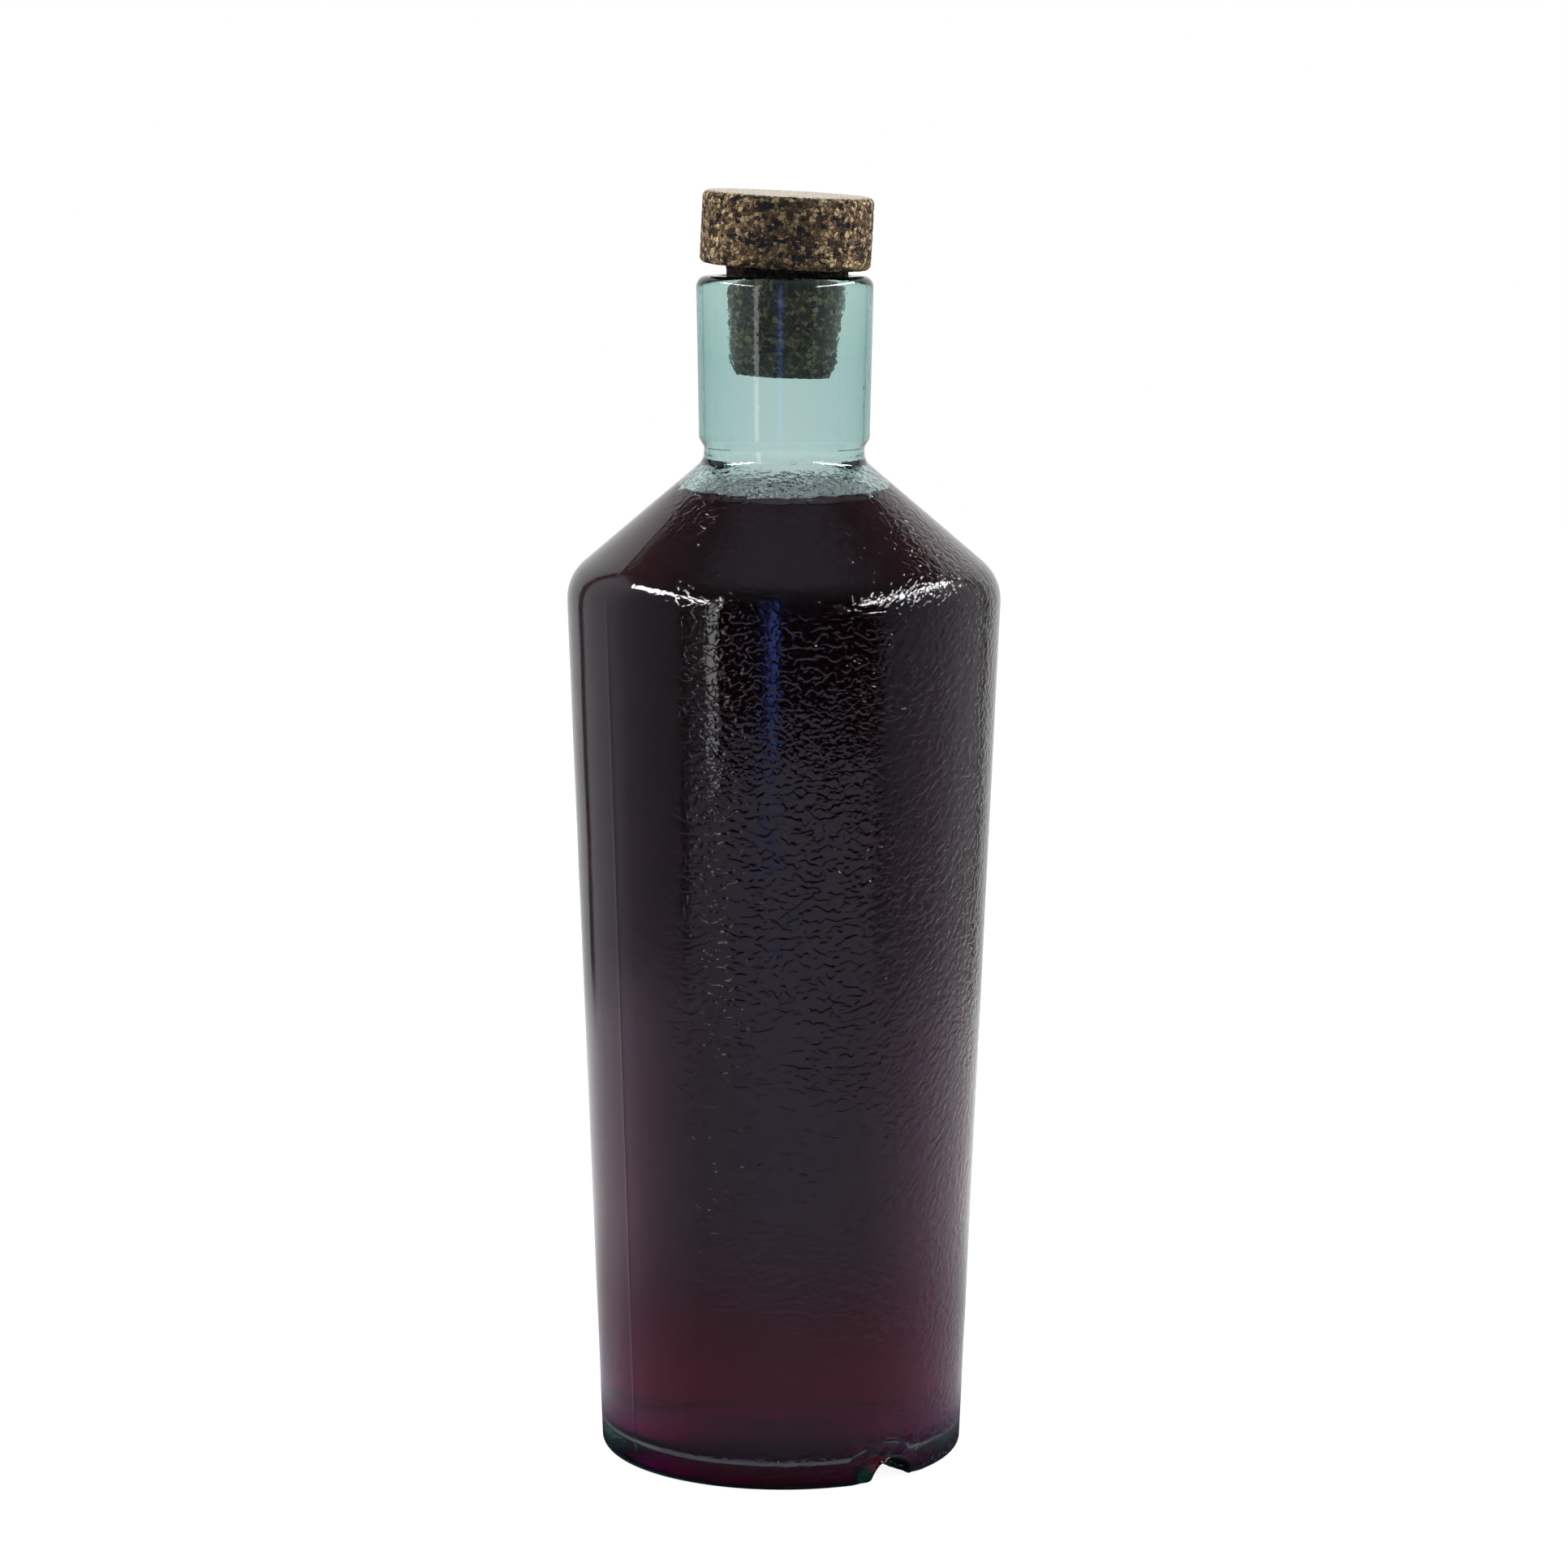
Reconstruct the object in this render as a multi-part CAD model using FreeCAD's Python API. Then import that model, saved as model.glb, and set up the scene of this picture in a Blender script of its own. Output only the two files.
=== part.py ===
import FreeCAD, Part
import math
import os

# A tapered round glass bottle with a straight conical shoulder and a thick short collar,
# filled with a dark drink and closed by a one-piece cork stopper that sits a little tilted.
# Millimetres and degrees. +Z is up, Z = 0 is the bearing ring, the glass stands on the Z axis.
# Azimuths are seen from above, from the front (-Y) towards the right (+X).

# Glass, outside
base_r = 36.0
body_height = 175.15
shoulder_r = 42.86
shoulder_slope = 40.25
shoulder_round = 9.3
heel_round = 1.6
groove_height = 2.6
groove_root_round = 3.2
groove_top_round = 0.6
collar_foot_height = 1.7
collar_foot_step = 1.0
collar_foot_round = 1.5
collar_height = 31.6
lip_round = 2.2

# Glass, inside
wall = 3.8
floor_thickness = 3.6
inner_heel_round = 2.4
bore_r = 10.95
bore_foot_round = 3.5
neck_wall = 4.8
mouth_widening = 1.45
mouth_round = 1.2
rim_width = 4.95
flare_depth = 15.0
flare_round = 12.0

# Push-up of the base, inside the ring that the bottle stands on
bearing_ring_width = 7.0
bearing_ring_round = 1.5
push_up = 5.5
push_up_flat_r = 12.0
push_up_round = 25.0

# Notch in the base rim, a round-roofed radial channel, and the swelling of the floor over it
notch_azimuth = 37.5
notch_r = 4.9
notch_reach = 6.0
notch_lip_round = 1.3
notch_roof = 3.0

# Two mould seams up the outside, a quarter turn from the notch
seam_height = 0.2
seam_angle = 0.7
seam_turns = (-90.0, 90.0)

# Drink, its level below the foot of the bore
level_drop = 7.8
meniscus_rise = 1.6
meniscus_reach = 2.6
meniscus_round = 2.0
drink_clearance = 0.15

# Stopper, a head and a tapered shank in one
head_r = 16.75
head_thickness = 14.2
head_gap = 1.75
head_offset = -0.5
head_top_round = 1.5
head_bottom_round = 1.3
shank_depth = 19.2
end_chamfer_width = 1.2
end_chamfer_height = 2.6
lean_right = 2.8
lean_forward = 1.3
lean_pivot_depth = 8.5
bore_clearance = 0.06

ORIGIN = FreeCAD.Vector(0, 0, 0)
UP = FreeCAD.Vector(0, 0, 1)

wall_slope = (shoulder_r - base_r) / body_height
cone_slope = -1 / math.tan(math.radians(shoulder_slope))
groove_r = bore_r + neck_wall
collar_foot_r = groove_r + collar_foot_step
mouth_r = bore_r + mouth_widening
rim_r = mouth_r + rim_width
groove_root_z = body_height + (groove_r - shoulder_r) / cone_slope
groove_top_z = groove_root_z + groove_height
collar_foot_z = groove_top_z + collar_foot_height
rim_z = collar_foot_z + collar_height


def rounded_outline(corners):
    """Closed profile through (radius, height, rounding) corners, each corner a tangent arc."""
    points = [FreeCAD.Vector(r, 0, z) for r, z, rounding in corners]
    arcs = []
    for i, here in enumerate(points):
        rounding = corners[i][2]
        back = (points[i - 1] - here).normalize()
        ahead = (points[(i + 1) % len(points)] - here).normalize()
        half_angle = back.getAngle(ahead) / 2
        if rounding == 0:
            arcs.append((here, None, here))
            continue
        reach = rounding / math.tan(half_angle)
        sagitta = rounding / math.sin(half_angle) - rounding
        middle = here + (back + ahead).normalize() * sagitta
        arcs.append((here + back * reach, middle, here + ahead * reach))
    edges = []
    for i, (start, middle, end) in enumerate(arcs):
        if middle is not None:
            edges.append(Part.Arc(start, middle, end).toShape())
        edges.append(Part.makeLine(end, arcs[(i + 1) % len(arcs)][0]))
    return Part.Wire(edges)


def turned(corners, angle=360.0):
    """Solid that a rounded outline sweeps about the axis."""
    return Part.Face(rounded_outline(corners)).revolve(ORIGIN, UP, angle)


def at_azimuth(shape, azimuth):
    """Turns a shape made over +X so that it lies at an azimuth."""
    shape.rotate(ORIGIN, UP, azimuth - 90)
    return shape


def outside_corners(raised=0.0):
    """Outline of the glass as if it were full, its sides raised for a seam."""
    return [
        (0, 0, 0),
        (base_r + raised, 0, heel_round),
        (shoulder_r + raised, body_height, shoulder_round),
        (groove_r + raised, groove_root_z, groove_root_round),
        (groove_r + raised, groove_top_z, groove_top_round),
        (collar_foot_r + raised, collar_foot_z, collar_foot_round),
        (rim_r + raised, rim_z, lip_round),
        (0, rim_z, 0),
    ]


def inside_corners(drawn_in=0.0):
    """Outline of the inside from the axis over the floor, up the wall and cone to the bore."""
    depth = wall + drawn_in
    foot_r = base_r - depth * math.hypot(1, wall_slope)
    cone_r = shoulder_r - depth * math.hypot(1, cone_slope)
    shoulder_z = (cone_r - foot_r - cone_slope * body_height) / (wall_slope - cone_slope)
    floor_z = floor_thickness + drawn_in
    narrow_r = bore_r - drawn_in
    return [
        (0, floor_z + push_up, 0),
        (push_up_flat_r, floor_z + push_up, push_up_round),
        (foot_r + wall_slope * floor_z, floor_z, inner_heel_round),
        (foot_r + wall_slope * shoulder_z, shoulder_z, shoulder_round - depth),
        (narrow_r, body_height + (narrow_r - cone_r) / cone_slope, bore_foot_round),
    ]


def cavity():
    """Everything that is open inside the glass, and the space over its mouth."""
    above = rim_z + mouth_r
    return turned(inside_corners() + [
        (bore_r, rim_z - flare_depth, flare_round),
        (mouth_r, rim_z, mouth_round),
        (rim_r - lip_round, rim_z, 0),
        (rim_r - lip_round, above, 0),
        (0, above, 0),
    ])


def push_up_hollow():
    """Shallow hollow under the base."""
    ring_inner_r = base_r - bearing_ring_width
    return turned([
        (0, push_up, 0),
        (push_up_flat_r, push_up, push_up_round),
        (ring_inner_r, 0, bearing_ring_round),
        (ring_inner_r + push_up, 0, 0),
        (ring_inner_r + push_up, -push_up, 0),
        (0, -push_up, 0),
    ])


def seam(turn):
    """One raised seam, as a thin wedge of the full glass."""
    wedge = turned(outside_corners(seam_height), seam_angle)
    return at_azimuth(wedge, notch_azimuth + turn - seam_angle / 2)


def radial_channel(r):
    """Round bar along the base's radius at the notch, with a ball end towards the axis."""
    along = FreeCAD.Vector(1, 0, 0)
    side = FreeCAD.Vector(0, 0, r)
    ball_centre = FreeCAD.Vector(base_r - notch_reach, 0, 0)
    outer_end = FreeCAD.Vector(shoulder_r, 0, 0)
    tip = ball_centre - along * r
    on_ball = ball_centre + (side - along * r) * math.sqrt(0.5)
    profile = Part.Wire([
        Part.Arc(tip, on_ball, ball_centre + side).toShape(),
        Part.makeLine(ball_centre + side, outer_end + side),
        Part.makeLine(outer_end + side, outer_end),
        Part.makeLine(outer_end, tip),
    ])
    return at_azimuth(Part.Face(profile).revolve(ORIGIN, along, 360), notch_azimuth)


def notch_lips(glass):
    """Edges where the channel's round faces leave the base."""
    channel_faces = [
        face for face in glass.Faces
        if abs(getattr(face.Surface, "Radius", 0) - notch_r) < 1e-6
    ]
    lips = []
    for face in channel_faces:
        for edge in face.Edges:
            owners = glass.ancestorsOfType(edge, Part.Face)
            shared = [owner for owner in owners if any(owner.isSame(other) for other in channel_faces)]
            if len(owners) == 2 and len(shared) == 1:
                lips.append(edge)
    return lips


def glass_bottle():
    """The glass, with its seams, push-up, floor swelling and base notch."""
    glass = turned(outside_corners())
    for turn in seam_turns:
        glass = glass.fuse(seam(turn))
    hollow = cavity().cut(radial_channel(notch_r + notch_roof))
    glass = glass.cut(hollow).cut(push_up_hollow())
    glass = glass.cut(radial_channel(notch_r)).Solids[0]
    lip_limit = 0.85 * heel_round
    return glass.makeFillet(min(notch_lip_round, lip_limit), notch_lips(glass))


def drink():
    """The drink up to its level, with the surface drawn up at the glass."""
    corners = inside_corners(drink_clearance)
    bore_foot_r, bore_foot_z, rounding = corners[-1]
    filled = turned(corners + [(bore_foot_r, rim_z, 0), (0, rim_z, 0)])
    level_z = bore_foot_z - level_drop
    glass_r = bore_foot_r - level_drop * cone_slope
    far_r = shoulder_r + wall
    rise = meniscus_rise * (far_r - glass_r + meniscus_reach) / meniscus_reach
    under_surface = turned([
        (0, 0, 0),
        (far_r, 0, 0),
        (far_r, level_z + rise, 0),
        (glass_r - meniscus_reach, level_z, meniscus_round),
        (0, level_z, 0),
    ])
    return filled.common(under_surface).cut(radial_channel(notch_r + notch_roof + drink_clearance))


def cork_stopper():
    """Head and shank in one, leaning as far as the bore allows."""
    lean = math.hypot(math.tan(math.radians(lean_right)), math.tan(math.radians(lean_forward)))
    seat_depth = shank_depth - end_chamfer_height
    fit_depths = [0.0, flare_depth, seat_depth] if flare_depth < seat_depth else [0.0, seat_depth]
    fit = []
    for depth in fit_depths:
        open_r = bore_r + mouth_widening * max(0.0, 1 - depth / flare_depth)
        fit.append((open_r - abs(depth - lean_pivot_depth) * lean - bore_clearance, -depth))
    taper = (fit[0][0] - fit[1][0]) / (fit[0][1] - fit[1][1])
    root_z = head_gap + head_bottom_round
    shank = turned([
        (0, -shank_depth, 0),
        (fit[-1][0] - end_chamfer_width, -shank_depth, 0),
    ] + [(r, z, 0) for r, z in reversed(fit[1:])] + [
        (fit[0][0] + taper * root_z, root_z, 0),
        (0, root_z, 0),
    ])
    head = turned([
        (0, head_gap, 0),
        (head_r, head_gap, head_bottom_round),
        (head_r, head_gap + head_thickness, head_top_round),
        (0, head_gap + head_thickness, 0),
    ])
    head.translate(FreeCAD.Vector(head_offset, 0, 0))
    stopper = shank.fuse(head).removeSplitter()
    pivot = FreeCAD.Vector(0, 0, -lean_pivot_depth)
    stopper.rotate(pivot, FreeCAD.Vector(1, 0, 0), lean_forward)
    stopper.rotate(pivot, FreeCAD.Vector(0, 1, 0), lean_right)
    stopper.translate(FreeCAD.Vector(0, 0, rim_z))
    return stopper


os.makedirs("parts", exist_ok=True)
for make in (glass_bottle, drink, cork_stopper):
    piece = make()
    piece.exportStep("parts/" + make.__name__ + ".step")
    print(make.__name__, len(piece.Solids), "solid", round(piece.Volume / 1000, 2), "cm3")
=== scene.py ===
import math
import bpy
import numpy as np
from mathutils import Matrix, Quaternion, Vector


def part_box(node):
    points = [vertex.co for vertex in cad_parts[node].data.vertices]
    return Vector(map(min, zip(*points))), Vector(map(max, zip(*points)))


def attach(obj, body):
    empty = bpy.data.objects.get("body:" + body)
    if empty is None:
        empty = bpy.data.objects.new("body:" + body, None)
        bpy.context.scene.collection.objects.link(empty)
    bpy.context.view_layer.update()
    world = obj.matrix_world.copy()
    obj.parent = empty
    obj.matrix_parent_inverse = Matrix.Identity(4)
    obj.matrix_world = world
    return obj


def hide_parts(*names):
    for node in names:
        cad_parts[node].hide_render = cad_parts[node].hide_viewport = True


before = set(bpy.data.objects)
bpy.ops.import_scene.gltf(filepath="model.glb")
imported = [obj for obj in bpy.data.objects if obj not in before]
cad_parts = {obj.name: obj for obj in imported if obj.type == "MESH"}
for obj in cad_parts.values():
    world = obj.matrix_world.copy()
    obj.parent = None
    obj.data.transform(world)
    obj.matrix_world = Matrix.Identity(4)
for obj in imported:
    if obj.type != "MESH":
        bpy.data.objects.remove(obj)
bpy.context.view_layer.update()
mm = 0.001
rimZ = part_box("glass_bottle")[1][2]
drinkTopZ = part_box("drink")[1][2]
print("frame loaded, the glass is", round(rimZ / mm, 1), "mm tall")

camera = dict(
    distance=0.850, height=0.2583, pitchDeg=8.33, rollDeg=0.2, yawDeg=-0.011,
    lens=99.52, sensor=36.0, nearest=0.05, farthest=30,
)


def makeCamera():
    data = bpy.data.cameras.new("camera")
    data.lens = camera["lens"]
    data.sensor_width = camera["sensor"]
    data.clip_start = camera["nearest"]
    data.clip_end = camera["farthest"]
    shot = bpy.data.objects.new("camera", data)
    bpy.context.scene.collection.objects.link(shot)
    shot.location = (0, -camera["distance"], camera["height"])
    pitch = math.radians(camera["pitchDeg"])
    level = Vector((0, math.cos(pitch), -math.sin(pitch))).to_track_quat("-Z", "Y")
    yaw = Quaternion((0, 0, 1), math.radians(camera["yawDeg"]))
    roll = Quaternion((0, 0, 1), math.radians(camera["rollDeg"]))
    shot.rotation_mode = "QUATERNION"
    shot.rotation_quaternion = yaw @ level @ roll
    bpy.context.scene.camera = shot


makeCamera()
print("camera placed")


# helpers for the shapes

def roundedProfile(corners, arcStep=0.13):
    # straight runs between (radius, height, rounding, step) corners, joined by tangent arcs,
    # with a point about every step along the run that follows a corner and arcStep radians on arcs
    spots = np.array([corner[:2] for corner in corners], float)
    pieces = []
    for i, corner in enumerate(corners):
        rounding = corner[2]
        if rounding == 0:
            pieces.append(spots[i:i + 1])
            continue
        back = spots[i - 1] - spots[i]
        ahead = spots[i + 1] - spots[i]
        back = back / np.hypot(*back)
        ahead = ahead / np.hypot(*ahead)
        half = math.acos(float(np.clip(back @ ahead, -1, 1))) / 2
        bisector = (back + ahead) / np.hypot(*(back + ahead))
        centre = spots[i] + bisector * rounding / math.sin(half)
        start = spots[i] + back * rounding / math.tan(half) - centre
        end = spots[i] + ahead * rounding / math.tan(half) - centre
        first = math.atan2(start[1], start[0])
        sweep = (math.atan2(end[1], end[0]) - first + math.pi) % (2 * math.pi) - math.pi
        turn = first + sweep * np.linspace(0, 1, max(4, int(abs(sweep) / arcStep)) + 1)
        pieces.append(centre + rounding * np.stack([np.cos(turn), np.sin(turn)], 1))
    line = [pieces[0]]
    for i in range(1, len(pieces)):
        gap = pieces[i][0] - line[-1][-1]
        count = max(1, int(round(np.hypot(*gap) / corners[i - 1][3])))
        share = np.linspace(0, 1, count + 1)[1:-1, None]
        line.append(line[-1][-1] + gap * share)
        line.append(pieces[i])
    return np.vstack(line)


def profileNormals(line):
    # the profile's direction turned a quarter to the right, so it points out of the piece
    along = np.gradient(line, axis=0)
    along /= np.maximum(np.hypot(along[:, 0], along[:, 1]), 1e-12)[:, None]
    return np.stack([along[:, 1], -along[:, 0]], 1)


def turnedPoints(line, turns, push=0.0):
    # x = r cos t, y = r sin t, z = z, with each point pushed out along the profile's normal
    normals = profileNormals(line)
    r = line[:, :1] + normals[:, :1] * push
    z = line[:, 1:] + normals[:, 1:] * push + 0 * turns
    return np.stack([r * np.cos(turns), r * np.sin(turns), z + 0 * r], -1)


def softMax(a, b, blend):
    # the larger of two heights, rounded over a band as wide as blend
    share = np.clip(0.5 + 0.5 * (a - b) / blend, 0, 1)
    return b + (a - b) * share + blend * share * (1 - share)


def smooth(low, high, value):
    # s-curve 3s^2 - 2s^3 of the share s of the way from low to high
    share = np.clip((value - low) / (high - low), 0, 1)
    return share * share * (3 - 2 * share)


def latticeHash(cell, seed):
    # one repeatable number from 0 to 1 for each whole-number cell, stirred by large primes
    mixed = cell.astype(np.int64) @ np.array([73856093, 19349663, 83492791]) + seed * 7919
    mixed = (mixed ^ (mixed >> 13)) * 1274126177 & 0x7FFFFFFF
    mixed = (mixed ^ (mixed >> 11)) * 668265263 & 0x7FFFFFFF
    return (mixed & 0xFFFF) / 65535.0


def waves(points, size, seed):
    # smooth random hills: lattice values blended by an s-curve in x, y and z, from -1 to 1
    grid = points / size
    low = np.floor(grid)
    part = grid - low
    part = part * part * (3 - 2 * part)
    total = 0
    for corner in np.ndindex(2, 2, 2):
        corner = np.array(corner)
        weight = np.prod(np.where(corner, part, 1 - part), axis=-1)
        total = total + weight * latticeHash(low + corner, seed)
    return total * 2 - 1


def turnedMesh(name, points, slot, *nodes):
    # a closed skin over a grid of rings, with the first and last rows drawn together into poles
    rows, columns = points.shape[:2]
    spots = np.vstack([points[0, :1], points[1:-1].reshape(-1, 3), points[-1, :1]])
    ring = 1 + np.arange((rows - 2) * columns).reshape(rows - 2, columns)
    across = np.roll(ring, -1, axis=1)
    quads = np.stack([ring[:-1], across[:-1], across[1:], ring[1:]], -1).reshape(-1, 4)
    pole = np.zeros(columns, int)
    foot = np.stack([pole, across[0], ring[0]], -1)
    head = np.stack([ring[-1], across[-1], pole + len(spots) - 1], -1)
    corners = spots[quads]
    volume = np.einsum("ij,ij->", corners[:, 0], np.cross(corners[:, 1], corners[:, 2]))
    volume += np.einsum("ij,ij->", corners[:, 0], np.cross(corners[:, 2], corners[:, 3]))
    if volume < 0:  # the faces point inwards
        quads, foot, head = quads[:, ::-1], foot[:, ::-1], head[:, ::-1]
    return addMesh(name, spots, [foot, quads, head], slot, *nodes)


def addMesh(name, spots, faceGroups, slot, *nodes):
    loops = np.concatenate([group.ravel() for group in faceGroups])
    sizes = np.concatenate([np.full(len(group), group.shape[1]) for group in faceGroups])
    mesh = bpy.data.meshes.new(name)
    mesh.vertices.add(len(spots))
    mesh.vertices.foreach_set("co", np.ascontiguousarray(spots, np.float32).ravel())
    mesh.loops.add(len(loops))
    mesh.loops.foreach_set("vertex_index", loops.astype(np.int32))
    mesh.polygons.add(len(sizes))
    mesh.polygons.foreach_set("loop_start", (np.cumsum(sizes) - sizes).astype(np.int32))
    mesh.polygons.foreach_set("use_smooth", np.ones(len(sizes), bool))
    mesh.update(calc_edges=True)
    mesh.validate()
    piece = bpy.data.objects.new(name, mesh)
    bpy.context.scene.collection.objects.link(piece)
    if nodes:
        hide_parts(*nodes)
    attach(piece, "root")
    print(name, len(spots), "points", int((sizes - 2).sum()), "triangles")
    return piece


def faceVectors(piece, name):
    values = np.zeros(len(piece.data.polygons) * 3, np.float32)
    piece.data.polygons.foreach_get(name, values)
    return values.reshape(-1, 3)


def markFaces(piece, name, values):
    mark = piece.data.attributes.new(name, "FLOAT", "FACE")
    mark.data.foreach_set("value", np.ascontiguousarray(values, np.float32))


# the glass

glass = dict(
    baseR=36.0 * mm, bodyHeight=175.15 * mm, shoulderR=42.83 * mm, shoulderSlopeDeg=40.25,
    shoulderRound=9.3 * mm, heelRound=1.6 * mm, neckR=15.75 * mm, neckRootRound=3.2 * mm,
    grooveHeight=2.6 * mm, grooveTopRound=0.6 * mm, collarFootHeight=1.7 * mm,
    collarFootStep=1.0 * mm, collarFootRound=1.5 * mm, rimR=17.35 * mm, lipRound=2.2 * mm,
    wall=3.8 * mm, floor=3.6 * mm, innerHeelRound=2.4 * mm, boreR=10.95 * mm, boreFootRound=3.5 * mm,
    mouthR=12.4 * mm, mouthRound=1.2 * mm, flareDepth=15.0 * mm, flareRound=12.0 * mm,
    ringWidth=7.0 * mm, ringRound=1.5 * mm,
    pushUp=5.5 * mm, pushUpFlatR=12.0 * mm, pushUpRound=25.0 * mm,
    closeRingsOutside=11 * mm, closeRingsInside=10 * mm,  # heights up to which the rings lie close
    # the notch in the base, and how steeply its bar falls away beside it
    notchDeg=37.5, notchR=4.9 * mm, notchReach=6.0 * mm, notchRoof=3.0 * mm, notchLip=1.9 * mm,
    swellLip=1.6 * mm, notchFall=3.0, notchBlend=4,
    # the two mould seams, fading out over these heights
    seamHeight=0.11 * mm, seamHalfWidthDeg=0.42, seamFoot=(2 * mm, 5 * mm),
    seamFade=(150 * mm, 180 * mm), seamFadeShare=0.8, seamUnderRim=(5 * mm, 3 * mm),
    # coarse and fine waves in the two faces of the wall
    outerWave=0.05 * mm, outerSizes=(9 * mm, 5 * mm), outerSquash=(1, 1),
    innerWave=0.10 * mm, innerSizes=(16 * mm, 8 * mm), innerSquash=(0.6, 0.8),
    waveShares=(0.6, 0.4), waveFoot=(6 * mm, 20 * mm), waveNeck=(200 * mm, 203 * mm),
    # the crinkles round the notch, with how far they reach beside, above and inwards
    crinkle=0.28 * mm, crinkleSize=2.2 * mm, crinkleBeside=(5 * mm, 13 * mm),
    crinkleAbove=(6 * mm, 11 * mm), crinkleInwards=(12 * mm, 4 * mm), crinkleInside=0.5,
    # degrees between the columns of points: all round, at the notch and at each seam
    stepDeg=1.4, notchHalfDeg=15, notchStepDeg=0.45, leastStepDeg=0.12,
    seamColumnsDeg=(-0.8, -0.5, -0.25, 0, 0.25, 0.5, 0.8),
)

notchTurn = math.radians(glass["notchDeg"] - 90)
wallSlope = (glass["shoulderR"] - glass["baseR"]) / glass["bodyHeight"]
coneSlope = -1 / math.tan(math.radians(glass["shoulderSlopeDeg"]))


def columnTurns():
    # angles about the axis: even steps, with closer ones at the notch and at the two seams
    g = glass
    middle = np.degrees(notchTurn)
    even = np.arange(0, 360, g["stepDeg"])
    atNotch = middle + np.arange(-g["notchHalfDeg"], g["notchHalfDeg"], g["notchStepDeg"])
    atSeams = [middle + side + np.array(g["seamColumnsDeg"]) for side in (-90, 90)]
    turns = np.sort(np.concatenate([even, atNotch, *atSeams]) % 360)
    keep = np.concatenate([[True], np.diff(turns) > g["leastStepDeg"]])
    return np.radians(turns[keep])


def insideCorners(drawnIn):
    # the inside from the middle of the floor to the foot of the bore, drawn in by an even gap
    depth = glass["wall"] + drawnIn
    footR = glass["baseR"] - depth * math.hypot(1, wallSlope)
    coneR = glass["shoulderR"] - depth * math.hypot(1, coneSlope)
    shoulderZ = (coneR - footR - coneSlope * glass["bodyHeight"]) / (wallSlope - coneSlope)
    floorZ = glass["floor"] + drawnIn
    narrowR = glass["boreR"] - drawnIn
    footZ = glass["bodyHeight"] + (narrowR - coneR) / coneSlope
    lowWallZ = floorZ + glass["closeRingsInside"]
    return [
        (0, floorZ + glass["pushUp"], 0, 3 * mm),
        (glass["pushUpFlatR"], floorZ + glass["pushUp"], glass["pushUpRound"], 1.2 * mm),
        (footR + wallSlope * floorZ, floorZ, glass["innerHeelRound"], 0.9 * mm),
        (footR + wallSlope * lowWallZ, lowWallZ, 0, 5 * mm),
        (footR + wallSlope * shoulderZ, shoulderZ, glass["shoulderRound"] - depth, 2.5 * mm),
        (narrowR, footZ, glass["boreFootRound"], 3 * mm),
    ]


def outsideCorners():
    # the outside from the middle of the base to the lip
    g = glass
    rootZ = g["bodyHeight"] + (g["neckR"] - g["shoulderR"]) / coneSlope
    topZ = rootZ + g["grooveHeight"]
    footZ = topZ + g["collarFootHeight"]
    lowWallZ = g["closeRingsOutside"]
    return [
        (0, g["pushUp"], 0, 4 * mm),
        (g["pushUpFlatR"], g["pushUp"], g["pushUpRound"], 1.1 * mm),
        (g["baseR"] - g["ringWidth"], 0, g["ringRound"], 0.7 * mm),
        (g["baseR"], 0, g["heelRound"], 0.9 * mm),
        (g["baseR"] + wallSlope * lowWallZ, lowWallZ, 0, 2.6 * mm),
        (g["shoulderR"], g["bodyHeight"], g["shoulderRound"], 2.2 * mm),
        (g["neckR"], rootZ, g["neckRootRound"], 0.8 * mm),
        (g["neckR"], topZ, g["grooveTopRound"], 0.5 * mm),
        (g["neckR"] + g["collarFootStep"], footZ, g["collarFootRound"], 2.6 * mm),
        (g["rimR"], rimZ, g["lipRound"], 1 * mm),
    ]


def lifted(points, r, lip):
    # heights raised over the notch: a round bar with a ball end along the notch's radius,
    # h = sqrt(r^2 - d^2) over it and falling away beside it
    away = points[..., 0] * math.cos(notchTurn) + points[..., 1] * math.sin(notchTurn)
    side = points[..., 1] * math.cos(notchTurn) - points[..., 0] * math.sin(notchTurn)
    beyond = np.minimum(away - (glass["baseR"] - glass["notchReach"]), 0)
    d = np.where(away > 0, np.hypot(side, beyond), glass["baseR"])
    over = np.sqrt(np.maximum(r * r - d * d, 0)) - glass["notchFall"] * np.maximum(d - r, 0)
    reach = glass["notchBlend"] * lip
    near = (points[..., 2] < r + reach) & (over > -reach)
    points[..., 2] = np.where(near, softMax(points[..., 2], over, lip), points[..., 2])
    return points


def wallWaves(points, sizes, squash, seeds):
    # coarse and fine hills added up, taller than wide where the squash is under one
    total = 0
    for size, flat, seed, share in zip(sizes, squash, seeds, glass["waveShares"]):
        total = total + waves(points * [1, 1, flat], size, seed) * share
    return total


def seamRidge(offTurn, height):
    # a bell curve across each seam, a quarter turn from the notch, fading out up the wall
    g = glass
    ridge = np.exp(-((np.abs(offTurn) - 90) / g["seamHalfWidthDeg"]) ** 2) * g["seamHeight"]
    shown = smooth(*g["seamFoot"], height) * (1 - g["seamFadeShare"] * smooth(*g["seamFade"], height))
    return ridge * shown * (1 - smooth(*[rimZ - below for below in g["seamUnderRim"]], height))


def crinkles(base, offTurn, outerRow):
    # small hills round the notch, half as deep on the inside
    g = glass
    beside = np.abs(offTurn) * math.radians(1) * g["baseR"]
    near = (1 - smooth(*g["crinkleBeside"], beside)) * (1 - smooth(*g["crinkleAbove"], base[..., 2]))
    inwards = [g["baseR"] - part for part in g["crinkleInwards"]]
    near = near * smooth(*inwards, np.hypot(base[..., 0], base[..., 1]))
    face = np.where(outerRow, 1, g["crinkleInside"])
    return waves(base, g["crinkleSize"], 61) * g["crinkle"] * near * face


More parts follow.
